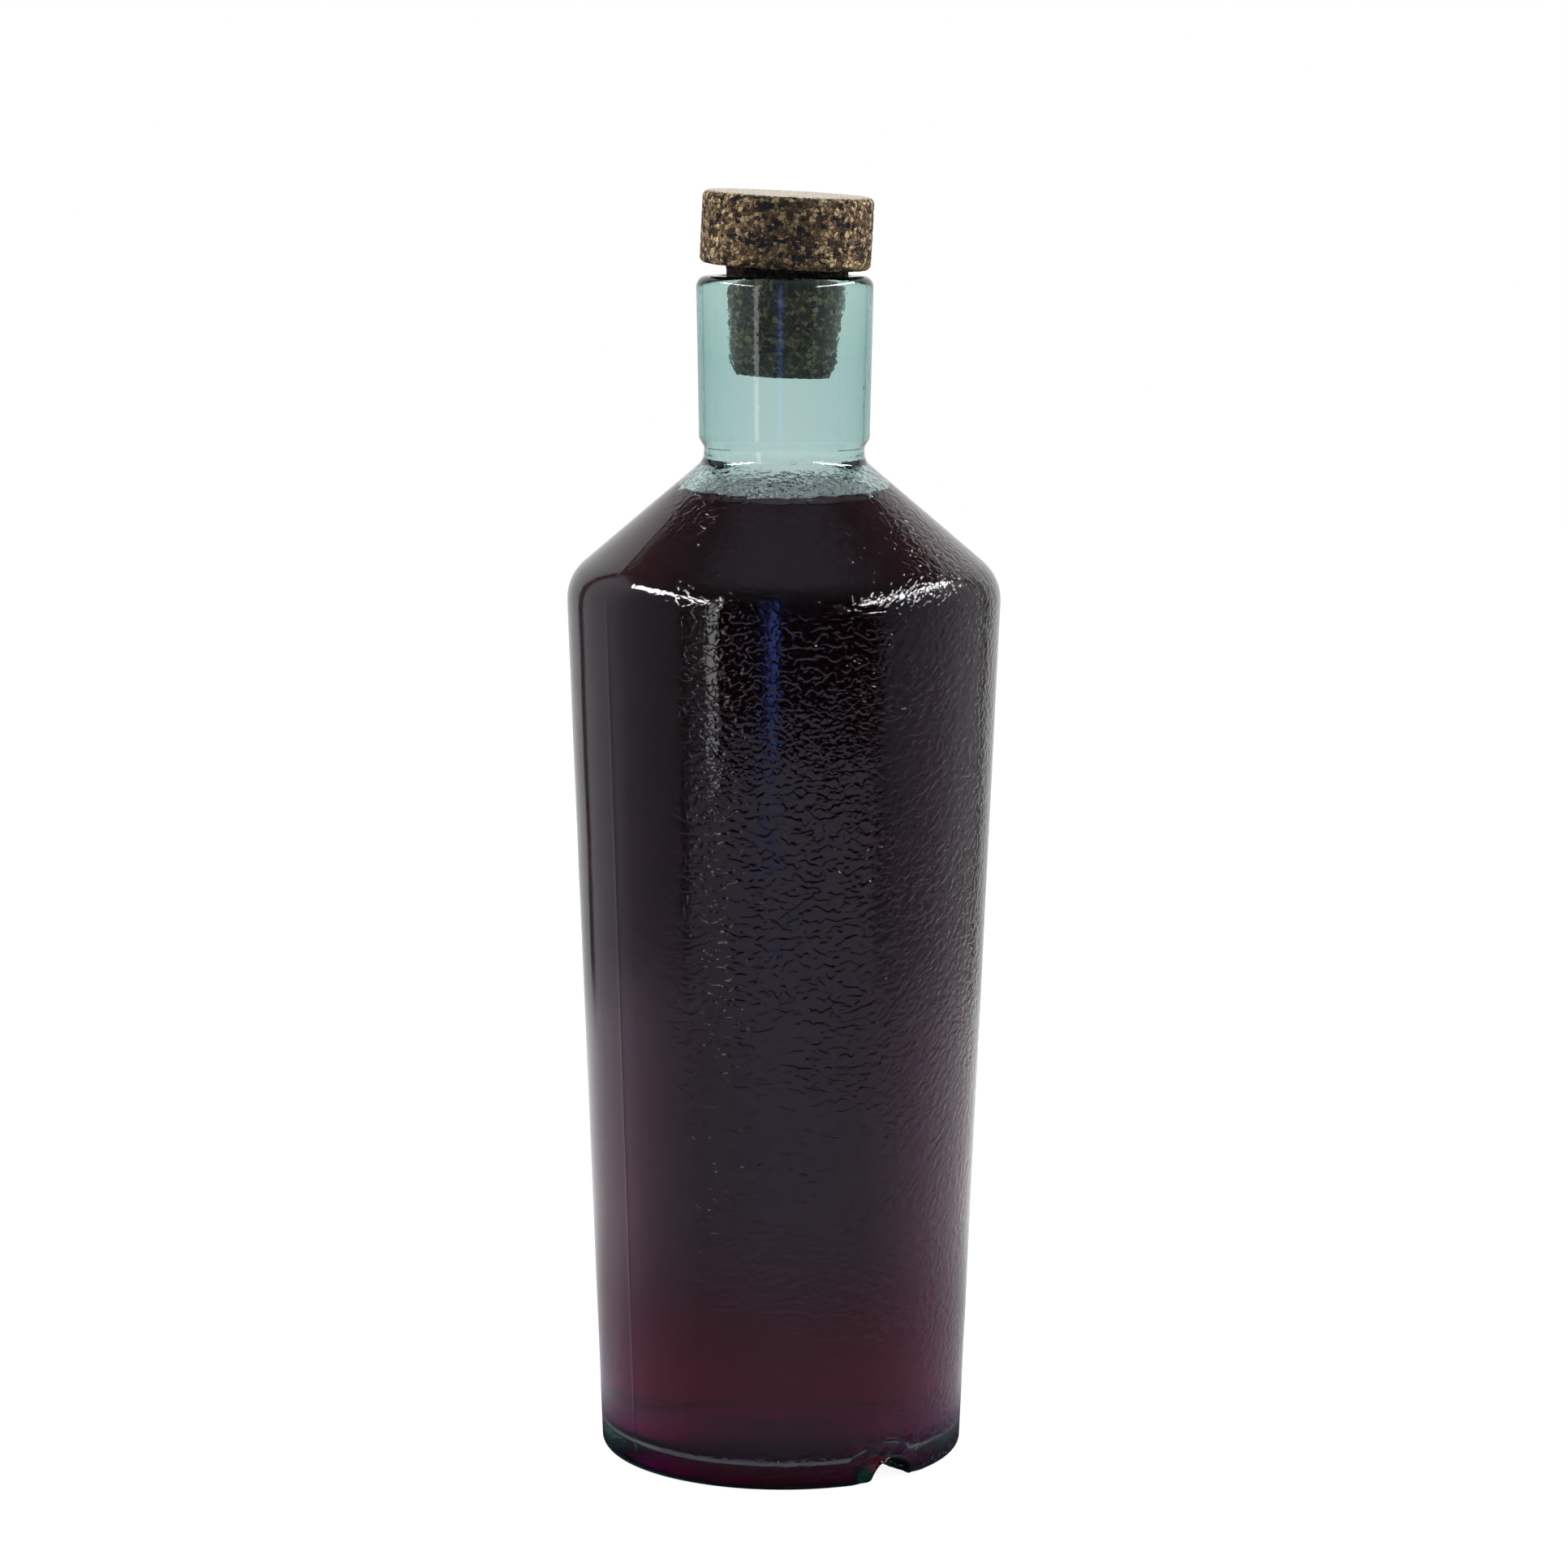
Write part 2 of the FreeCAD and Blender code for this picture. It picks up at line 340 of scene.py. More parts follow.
def makeGlass():
    # the closed profile of wall, lip and bore turned about the axis, each point pushed along the
    # profile's normal by waves, seams and crinkles, with the notch lifted out of the base
    g = glass
    turns = columnTurns()
    # the inside runs from the bore down, so each of its corners takes the step of the next one
    inner = insideCorners(0)[::-1]
    steps = [corner[3] for corner in inner[1:]] + [inner[-1][3]]
    inner = [(*corner[:3], step) for corner, step in zip(inner, steps)]
    mouth = [
        (g["mouthR"], rimZ, g["mouthRound"], 2.5 * mm),
        (g["boreR"], rimZ - g["flareDepth"], g["flareRound"], 3 * mm),
    ]
    line = roundedProfile(outsideCorners() + mouth + inner)
    rimRow = int(np.argmax(line[:, 1]))
    outerRow = (np.arange(len(line)) <= rimRow)[:, None]
    base = turnedPoints(line, turns)
    height = base[..., 2]
    offTurn = np.degrees(np.angle(np.exp(1j * (turns - notchTurn))))
    outer = wallWaves(base, g["outerSizes"], g["outerSquash"], (3, 4)) * g["outerWave"]
    inside = wallWaves(base, g["innerSizes"], g["innerSquash"], (7, 8)) * g["innerWave"]
    onWall = smooth(*g["waveFoot"], height) * (1 - smooth(*g["waveNeck"], height))
    push = np.where(outerRow, outer, inside) * onWall
    push = push + np.where(outerRow, seamRidge(offTurn, height), 0)
    push = push + crinkles(base, offTurn, outerRow)
    points = turnedPoints(line, turns, push)
    points[..., 2] = np.maximum(points[..., 2], 0)  # nothing reaches under the table
    outsidePart = lifted(points[:rimRow + 1].copy(), g["notchR"], g["notchLip"])
    insidePart = lifted(points[rimRow + 1:].copy(), g["notchR"] + g["notchRoof"], g["swellLip"])
    points = np.concatenate([outsidePart, insidePart])
    piece = turnedMesh("bottleGlass", points, "bottle_glass", "glass_bottle")
    # the inside below the level is wet, so its faces mirror nothing
    wetRow = rimRow + int(np.argmax(line[rimRow:, 1] < drinkTopZ))
    firstWet = 1 + (wetRow - 1) * len(turns)
    starts = np.zeros(len(piece.data.polygons), np.int32)
    piece.data.polygons.foreach_get("loop_start", starts)
    spots = np.zeros(len(piece.data.loops), np.int32)
    piece.data.loops.foreach_get("vertex_index", spots)
    markFaces(piece, "mirror", np.where(spots[starts] >= firstWet, 0.0, 1.0))
    return piece


# the drink

drink = dict(
    clearance=0.15 * mm, intoWall=0.25 * mm, levelDrop=7.8 * mm,
    meniscusReach=2.6 * mm, meniscusRise=1.6 * mm, meniscusRound=2.0 * mm,
    # the ragged edge: the width of its band, how far it starts below the level, its hills
    edgeWidth=1.2 * mm, edgeBelow=0.2 * mm, raggedSize=2.2 * mm, raggedDepth=0.5 * mm,
    # what the faces against the glass mirror, and which faces count as open to the air
    glassMirror=0.17, airBelow=1 * mm, airInward=-0.2 * mm,
)


def drinkLevel():
    # the height of the level, measured down from the foot of the bore
    return insideCorners(drink["clearance"])[-1][1] - drink["levelDrop"]


def makeDrink():
    # the inside of the glass up to the level, turned about the axis, with a meniscus at its edge
    turns = columnTurns()
    out = -drink["intoWall"]
    corners = insideCorners(out)
    levelZ = drinkLevel()
    contactZ = levelZ + drink["meniscusRise"]
    bore = corners.pop()
    contactR = bore[0] + (contactZ - bore[1]) * coneSlope
    corners += [
        (contactR, contactZ, 0, 0.4 * mm),
        (contactR - drink["meniscusReach"], levelZ, drink["meniscusRound"], 1.5 * mm),
        (0, levelZ, 0, 1 * mm),
    ]
    points = turnedPoints(roundedProfile(corners), turns)
    # hills under a bell curve about the line of contact make the edge ragged
    fromEdge = (np.hypot(points[..., 0], points[..., 1]) - contactR) / drink["edgeWidth"]
    atEdge = np.exp(-fromEdge ** 2) * smooth(levelZ - drink["edgeBelow"], contactZ, points[..., 2])
    points[..., 2] += atEdge * waves(points, drink["raggedSize"], 21) * drink["raggedDepth"]
    points = lifted(points, glass["notchR"] + glass["notchRoof"] + out, glass["swellLip"])
    piece = turnedMesh("drinkBody", points, "dark_drink", "drink")
    # the faces that meet the air mirror fully, the ones against the glass only the little that
    # two such close indices send back
    facing = faceVectors(piece, "normal")
    centres = faceVectors(piece, "center")
    inward = -(facing[:, :2] * centres[:, :2]).sum(1)
    high = centres[:, 2] > levelZ - drink["airBelow"]
    openToAir = high & (inward > drink["airInward"]) & (facing[:, 2] > 0)
    markFaces(piece, "mirror", np.where(openToAir, 1.0, drink["glassMirror"]))
    return piece


# the foam

foam = dict(
    rows=(0.2 * mm, 4.0 * mm), spacing=0.85 * mm, rowShare=0.62, ringR=20 * mm, jitter=0.6,
    size=(0.26 * mm, 0.52 * mm), shrink=0.4, offWall=0.06 * mm,
    sparseAbove=2.0 * mm, thinning=1.1, spared=0.02, patch=5 * mm, patchShare=0.35,
    ringFaces=8, ballRows=5,
)


def ballShape(columns, rows):
    # a ball of radius one: x = sin a cos b, y = sin a sin b, z = cos a, with a pole at each end
    b = np.arange(columns) * 2 * math.pi / columns
    a = np.arange(1, rows)[:, None] * math.pi / rows
    skin = np.stack([np.sin(a) * np.cos(b), np.sin(a) * np.sin(b), np.cos(a) + 0 * b], -1)
    spots = np.vstack([[0, 0, 1], skin.reshape(-1, 3), [0, 0, -1]])
    ring = 1 + np.arange((rows - 1) * columns).reshape(rows - 1, columns)
    across = np.roll(ring, -1, axis=1)
    quads = np.stack([ring[:-1], ring[1:], across[1:], across[:-1]], -1).reshape(-1, 4)
    top = np.stack([0 * ring[0], ring[0], across[0]], -1)
    foot = np.stack([0 * ring[0] + len(spots) - 1, across[-1], ring[-1]], -1)
    return spots, [top, quads, foot]


def makeFoam():
    # small bubbles that cling to the inside of the shoulder just above the drink,
    # dense at the level and sparse higher up, each a little closed ball
    f = foam
    bore = insideCorners(drink["clearance"])[-1]
    contactZ = drinkLevel() + drink["meniscusRise"]
    rise = np.arange(*f["rows"], f["spacing"] * f["rowShare"])
    turnStep = f["spacing"] / f["ringR"]
    turns = np.arange(0, 2 * math.pi, turnStep)
    rowIndex, turnIndex = np.meshgrid(np.arange(len(rise)), np.arange(len(turns)), indexing="ij")
    cell = np.stack([rowIndex, turnIndex, 0 * rowIndex], -1).reshape(-1, 3)
    luck = [latticeHash(cell, seed) for seed in (41, 42, 43, 44)]
    up = rise[cell[:, 0]] + (luck[0] - 0.5) * f["spacing"] * f["jitter"]
    turn = turns[cell[:, 1]] + (luck[1] - 0.5 + 0.5 * (cell[:, 0] % 2)) * turnStep
    share = np.clip((up - f["sparseAbove"]) / (f["rows"][1] - f["sparseAbove"]), 0, 1)
    onRing = np.stack([np.cos(turn), np.sin(turn), 0 * turn], -1) * f["ringR"]
    thick = waves(onRing, f["patch"], 51) * f["patchShare"]
    keep = luck[3] > share * f["thinning"] - thick - f["spared"]
    small, large = f["size"]
    size = (small + (large - small) * luck[2] ** 2) * (1 - f["shrink"] * share)
    up, turn, size = up[keep], turn[keep], size[keep]
    # each ball's centre lies its own radius off the cone of the shoulder
    lean = math.radians(90 - glass["shoulderSlopeDeg"])
    away = size + f["offWall"]
    height = contactZ + up
    centreR = bore[0] + (height - bore[1]) * coneSlope - away * math.cos(lean)
    centreZ = height - away * math.sin(lean)
    centre = np.stack([centreR * np.cos(turn), centreR * np.sin(turn), centreZ], -1)
    ball, faceGroups = ballShape(f["ringFaces"], f["ballRows"])
    spots = (centre[:, None] + ball * size[:, None, None]).reshape(-1, 3)
    first = np.arange(len(centre))[:, None, None] * len(ball)
    groups = [(faces + first).reshape(-1, faces.shape[1]) for faces in faceGroups]
    return addMesh("drinkFoam", spots, groups, "dark_drink")


glassPiece = makeGlass()
drinkPiece = makeDrink()
foamPiece = makeFoam()


# the stopper

cork = dict(
    headR=16.75 * mm, headThickness=14.2 * mm, headGap=1.75 * mm, headOffset=-0.5 * mm,
    headTopRound=1.5 * mm, headBottomRound=1.3 * mm, offsetBelow=0.6 * mm, offsetAbove=0.1 * mm,
    shankDepth=19.2 * mm, endRound=0.3 * mm, chamferWidth=1.2 * mm, chamferHeight=2.6 * mm,
    leanRightDeg=2.8, leanForwardDeg=1.3, pivotDepth=8.5 * mm,
    fit=0.06 * mm, shankSkin=0.02 * mm, headSkin=0.03 * mm,  # gap in the bore, kept inside the solid
    # cracks along the granules' joints and chips out of their faces
    pitSize=1.5 * mm, pitDepth=0.16 * mm, crackShare=0.55, crackWidth=(0.02, 0.22),
    chipSize=1.1 * mm, chipRamp=(0.35, 0.75), smoothMiddle=(1 * mm, 4 * mm), stepDeg=1.0,
)


def granules(points, size, seed):
    # distance from each point to the nearest and second nearest of one random seed per cell
    grid = points / size
    low = np.floor(grid)
    nearest = np.full(grid.shape[:-1], np.inf)
    second = nearest.copy()
    for shift in np.ndindex(3, 3, 3):
        cell = low + np.array(shift) - 1
        jitter = np.stack([latticeHash(cell, seed + k) for k in range(3)], -1)
        d = np.linalg.norm(grid - cell - jitter, axis=-1)
        second = np.minimum(second, np.maximum(nearest, d))
        nearest = np.minimum(nearest, d)
    return nearest, second


def shankR(depth):
    # the radius that the leaning shank can have at a depth below the rim
    c = cork
    lean = math.hypot(*[math.tan(math.radians(c[name])) for name in ("leanRightDeg", "leanForwardDeg")])
    flare = max(0.0, 1 - depth / glass["flareDepth"])
    openR = glass["boreR"] + (glass["mouthR"] - glass["boreR"]) * flare
    return openR - abs(depth - c["pivotDepth"]) * lean - c["fit"] - c["shankSkin"]


def corkCorners():
    # from the end of the shank to the top of the head, with heights above the rim
    c = cork
    seat = c["shankDepth"] - c["chamferHeight"]
    endR, flareR, mouthFit = shankR(seat), shankR(glass["flareDepth"]), shankR(0)
    rootR = mouthFit + (mouthFit - flareR) / glass["flareDepth"] * c["headGap"]
    topZ = c["headGap"] + c["headThickness"] - c["headSkin"]
    headR = c["headR"] - c["headSkin"]
    return [
        (0, -c["shankDepth"], 0, 1 * mm),
        (endR - c["chamferWidth"], -c["shankDepth"], c["endRound"], 0.6 * mm),
        (endR, -seat, c["endRound"], 0.5 * mm),
        (flareR, -glass["flareDepth"], 0, 0.5 * mm),
        (mouthFit, 0, 0, 0.5 * mm),
        (rootR, c["headGap"], 0, 0.5 * mm),
        (headR, c["headGap"], c["headBottomRound"], 0.33 * mm),
        (headR, topZ, c["headTopRound"], 0.5 * mm),
        (0, topZ, 0, 1 * mm),
    ]


def makeCork():
    # the cork's profile turned about its axis, pushed in along its normal by cracks and chips,
    # then leant about the pivot
    c = cork
    line = roundedProfile(corkCorners())
    turns = np.radians(np.arange(0, 360, c["stepDeg"]))
    base = turnedPoints(line, turns)
    near, second = granules(base, c["pitSize"], 11)
    crack = 1 - smooth(*c["crackWidth"], second - near)
    chip = smooth(*c["chipRamp"], waves(base, c["chipSize"], 31))
    fade = smooth(*c["smoothMiddle"], np.hypot(base[..., 0], base[..., 1]))
    push = -(crack * c["crackShare"] + chip) * c["pitDepth"] * fade
    points = turnedPoints(line, turns, push)
    offsetFrom, offsetTo = c["headGap"] - c["offsetBelow"], c["headGap"] + c["offsetAbove"]
    points[..., 0] += c["headOffset"] * smooth(offsetFrom, offsetTo, points[..., 2])
    # lean about the pivot: first to the front about x, then to the right about y
    a, b = math.radians(c["leanForwardDeg"]), math.radians(c["leanRightDeg"])
    turnX = np.array([[1, 0, 0], [0, math.cos(a), -math.sin(a)], [0, math.sin(a), math.cos(a)]])
    turnY = np.array([[math.cos(b), 0, math.sin(b)], [0, 1, 0], [-math.sin(b), 0, math.cos(b)]])
    pivot = np.array([0, 0, -c["pivotDepth"]])
    points = (points - pivot) @ (turnY @ turnX).T + pivot + np.array([0, 0, rimZ])
    return turnedMesh("corkStopper", points, "agglomerated_cork", "cork_stopper")


corkPiece = makeCork()


# helpers for the materials

def newMaterial(name):
    material = bpy.data.materials.new(name)
    material.use_nodes = True
    nodes = material.node_tree.nodes
    return material, nodes, material.node_tree.links, nodes["Principled BSDF"]


def dress(piece, material):
    piece.data.materials.clear()
    piece.data.materials.append(material)


def addNode(nodes, kind, **values):
    node = nodes.new(kind)
    for name, value in values.items():
        setattr(node, name, value)
    return node


def mathNode(nodes, links, operation, *values):
    node = addNode(nodes, "ShaderNodeMath", operation=operation)
    for i, value in enumerate(values):
        if isinstance(value, (int, float)):
            node.inputs[i].default_value = value
        else:
            links.new(value, node.inputs[i])
    return node.outputs[0]


def product(nodes, links, first, *others):
    for other in others:
        first = mathNode(nodes, links, "MULTIPLY", first, other)
    return first


def rampNode(nodes, links, value, low, high, toLow=0.0, toHigh=1.0):
    # smooth step of a value between low and high
    node = addNode(nodes, "ShaderNodeMapRange", interpolation_type="SMOOTHSTEP")
    node.inputs["From Min"].default_value = low
    node.inputs["From Max"].default_value = high
    node.inputs["To Min"].default_value = toLow
    node.inputs["To Max"].default_value = toHigh
    links.new(value, node.inputs["Value"])
    return node.outputs["Result"]


def mixNode(nodes, links, kind, factor, first, second):
    node = addNode(nodes, "ShaderNodeMix", data_type=kind, clamp_result=False)
    sockets = [socket for socket in node.inputs if socket.enabled]
    for socket, value in zip(sockets, (factor, first, second)):
        if hasattr(value, "is_linked"):
            links.new(value, socket)
        else:
            socket.default_value = value
    return [socket for socket in node.outputs if socket.enabled][0]


def mixColour(nodes, links, factor, first, second):
    return mixNode(nodes, links, "RGBA", factor, first, second)


def mixShader(nodes, links, factor, first, second):
    node = nodes.new("ShaderNodeMixShader")
    if isinstance(factor, float):
        node.inputs["Fac"].default_value = factor
    else:
        links.new(factor, node.inputs["Fac"])
    links.new(first, node.inputs[1])
    links.new(second, node.inputs[2])
    return node.outputs["Shader"]


def noiseNode(nodes, links, vector, scale, detail=0.0, rough=0.5):
    node = nodes.new("ShaderNodeTexNoise")
    node.inputs["Scale"].default_value = scale
    node.inputs["Detail"].default_value = detail
    node.inputs["Roughness"].default_value = rough
    links.new(vector, node.inputs["Vector"])
    return node.outputs["Fac"]


def axesOf(nodes, links, vector):
    split = nodes.new("ShaderNodeSeparateXYZ")
    links.new(vector, split.inputs["Vector"])
    return [split.outputs[axis] for axis in "XYZ"]


def grainSpace(nodes, links, place, wide, tall):
    # the place counted in grains of this width and height
    node = nodes.new("ShaderNodeMapping")
    node.inputs["Scale"].default_value = (1 / wide, 1 / wide, 1 / tall)
    links.new(place, node.inputs["Vector"])
    return node.outputs["Vector"]


def lengthOf(nodes, links, vector):
    node = addNode(nodes, "ShaderNodeVectorMath", operation="LENGTH")
    links.new(vector, node.inputs[0])
    return node.outputs["Value"]


def fromAxis(nodes, links, place):
    # distance from the bottle's axis, the length of (x, y, 0)
    flat = addNode(nodes, "ShaderNodeVectorMath", operation="MULTIPLY")
    flat.inputs[1].default_value = (1, 1, 0)
    links.new(place, flat.inputs[0])
    return lengthOf(nodes, links, flat.outputs["Vector"])


def bumpOn(nodes, links, shader, height, distance, strength):
    relief = nodes.new("ShaderNodeBump")
    relief.inputs["Distance"].default_value = distance
    relief.inputs["Strength"].default_value = strength
    links.new(height, relief.inputs["Height"])
    links.new(relief.outputs["Normal"], shader.inputs["Normal"])


def clearMaterial(name, look):
    # a clear stuff that takes its colour from its depth and mirrors as much as its faces are marked
    material, nodes, links, shader = newMaterial(name)
    mask = addNode(nodes, "ShaderNodeAttribute", attribute_name="mirror")
    links.new(mask.outputs["Fac"], shader.inputs["Specular Tint"])
    shader.inputs["Base Color"].default_value = (1, 1, 1, 1)
    shader.inputs["Roughness"].default_value = 0.0
    shader.inputs["IOR"].default_value = look["ior"]
    shader.inputs["Transmission Weight"].default_value = 1.0
    inside = nodes.new("ShaderNodeVolumeAbsorption")
    inside.inputs["Color"].default_value = (*look["absorb"], 1)
    inside.inputs["Density"].default_value = look["density"]
    links.new(inside.outputs["Volume"], nodes["Material Output"].inputs["Volume"])
    return material, nodes, links, shader


# glass material: two numbers are the ends of a ramp, four also give its two values

glassLook = dict(
    ior=1.52, absorb=(0.10, 0.52, 0.45), density=75.0, bump=0.065 * mm, bumpStrength=1.0,
    pebble=(1.55 * mm, 1.1 * mm), plateau=(0.43, 0.57), plateauDetail=0.6,
    streakLong=2.0 * mm, streakWide=0.95 * mm, streakLeanDeg=35, streakShare=0.5,
    streakSide=(8 * mm, 26 * mm), patch=14 * mm, patchRamp=(0.36, 0.62, 0.6, 1.0),
    smoothSide=(-26 * mm, -15 * mm, 0.04, 1.0), smoothFoot=(15 * mm, 130 * mm, 0.35, 1.0),
    smoothNeck=(192 * mm, 200 * mm, 1.0, 0.15),
    fineSize=0.8 * mm, fineShare=0.38, fineAbove=(168 * mm, 176 * mm),
    groundSize=0.5 * mm, groundShare=0.08, groundR=(13.2 * mm, 13.8 * mm, 1.0, 0.0),
    groundDepth=(24 * mm, 18 * mm),
)


def pebbleRelief():
    # the wall's cast texture: flat pebbles wider than tall, leaning streaks on the right,
    # both in patches, smoother on the left, near the foot and on the neck
    look = glassLook
    group = bpy.data.node_groups.new("pebbleRelief", "ShaderNodeTree")
    group.interface.new_socket("Height", in_out="OUTPUT", socket_type="NodeSocketFloat")
    nodes, links = group.nodes, group.links
    end = nodes.new("NodeGroupOutput")
    place = nodes.new("ShaderNodeTexCoord").outputs["Object"]
    x, _, z = axesOf(nodes, links, place)

    def plateaus(vector):
        hills = noiseNode(nodes, links, vector, 1.0, look["plateauDetail"])
        return rampNode(nodes, links, hills, *look["plateau"])

    pebbles = plateaus(grainSpace(nodes, links, place, *look["pebble"]))
    lean = addNode(nodes, "ShaderNodeMapping", vector_type="TEXTURE")
    turn = math.radians(look["streakLeanDeg"])
    lean.inputs["Rotation"].default_value = (-turn, turn, 0)
    lean.inputs["Scale"].default_value = (look["streakWide"], look["streakWide"], look["streakLong"])
    links.new(place, lean.inputs["Vector"])
    streaks = plateaus(lean.outputs["Vector"])
    patches = noiseNode(nodes, links, place, 1 / look["patch"], 1.0)
    patch = rampNode(nodes, links, patches, *look["patchRamp"])
    right = rampNode(nodes, links, x, *look["streakSide"])
    left = rampNode(nodes, links, x, *look["smoothSide"])
    low = rampNode(nodes, links, z, *look["smoothFoot"])
    neck = rampNode(nodes, links, z, *look["smoothNeck"])
    leaning = product(nodes, links, streaks, right, look["streakShare"])
    both = mathNode(nodes, links, "ADD", leaning, product(nodes, links, pebbles, low, patch))
    cast = product(nodes, links, both, product(nodes, links, left, neck))
    # a finer grain breaks up what the wall mirrors, on the left only from the shoulder up
    fine = noiseNode(nodes, links, place, 1 / look["fineSize"], 0.5)
    upper = rampNode(nodes, links, z, *look["fineAbove"])
    where = product(nodes, links, mathNode(nodes, links, "MAXIMUM", left, upper), neck)
    fine = product(nodes, links, fine, where)
    cast = mathNode(nodes, links, "MULTIPLY_ADD", fine, look["fineShare"], cast)
    # the bore is ground to a fine grain where the stopper sits
    bore = rampNode(nodes, links, fromAxis(nodes, links, place), *look["groundR"])
    seat = rampNode(nodes, links, z, *[rimZ - depth for depth in look["groundDepth"]])
    grain = noiseNode(nodes, links, place, 1 / look["groundSize"], 1.0)
    ground = product(nodes, links, grain, bore, seat)
    height = mathNode(nodes, links, "MULTIPLY_ADD", ground, look["groundShare"], cast)
    links.new(height, end.inputs["Height"])
    return group


def glassMaterial():
    material, nodes, links, shader = clearMaterial("bottleGlass", glassLook)
    pebbles = addNode(nodes, "ShaderNodeGroup", node_tree=pebbleRelief())
    height = pebbles.outputs["Height"]
    bumpOn(nodes, links, shader, height, glassLook["bump"], glassLook["bumpStrength"])
    return material


# drink and foam materials

drinkLook = dict(ior=1.345, absorb=(0.82, 0.0, 0.66), density=250.0)
foamLook = dict(colour=(0.90, 0.87, 0.90, 1), roughness=0.06, ior=1.25, clear=0.75)


def drinkMaterial():
    return clearMaterial("darkDrink", drinkLook)[0]


def foamMaterial():
    material, _, _, shader = newMaterial("foamBubbles")
    shader.inputs["Base Color"].default_value = foamLook["colour"]
    shader.inputs["Roughness"].default_value = foamLook["roughness"]
    shader.inputs["IOR"].default_value = foamLook["ior"]
    shader.inputs["Transmission Weight"].default_value = foamLook["clear"]
    return material


# cork material, with its ramps written like the glass's

corkLook = dict(
    granule=0.95 * mm, warp=0.45 * mm, warpSize=1.2 * mm, fineSize=0.7 * mm, fineShare=1.1,
    dark=(0.030, 0.018, 0.010), middle=(0.155, 0.099, 0.049), pale=(0.42, 0.31, 0.17),
    # the face colour is sanded cork painted paler as top light
    darkSpeckAndShade=(0.006, 0.006, 0.010), face=(0.50, 0.46, 0.39), tones=(0.12, 0.55, 0.98),
    joint=(0.0, 0.10, 0.75, 0.0), speck=(2.5 * mm, 1.5 * mm), speckRamp=(0.55, 0.60),
    # the middle-to-side ramp is painted shade in the front middle and painted light at the sides
    paintedSideLight=(3 * mm, 12 * mm, 0.54, 1.35), upward=(0.7, 0.97), rubbedAndTopLit=(0.25, 0.5, 0.75, 1.0),
    # the gap ramps below place painted shade, mixed to the same dark as the bark specks
    gapShade=0.25, gapR=(13.6 * mm, 14.6 * mm, 1.0, 0.0), gapFoot=(-3 * mm, 0.5 * mm),
    gapTop=(5 * mm, 7 * mm), roughness=0.8, shine=0.25,
    bump=0.30 * mm, bumpStrength=0.8, bumpEdge=(0.0, 0.2), bumpFine=0.6,
)


def gapShade(nodes, links, place, z):
    # painted shade: the short stretch of shank between the head and the glass, which lies in deep shade,
    # is mixed to the darkest colour
    look = corkLook
    inner = rampNode(nodes, links, fromAxis(nodes, links, place), *look["gapR"])
    aboveFoot = rampNode(nodes, links, z, *[rimZ + part for part in look["gapFoot"]])
    belowTop = rampNode(nodes, links, z, *[rimZ + part for part in look["gapTop"]], 1.0, 0.0)
    return product(nodes, links, inner, aboveFoot, belowTop, 1 - look["gapShade"])


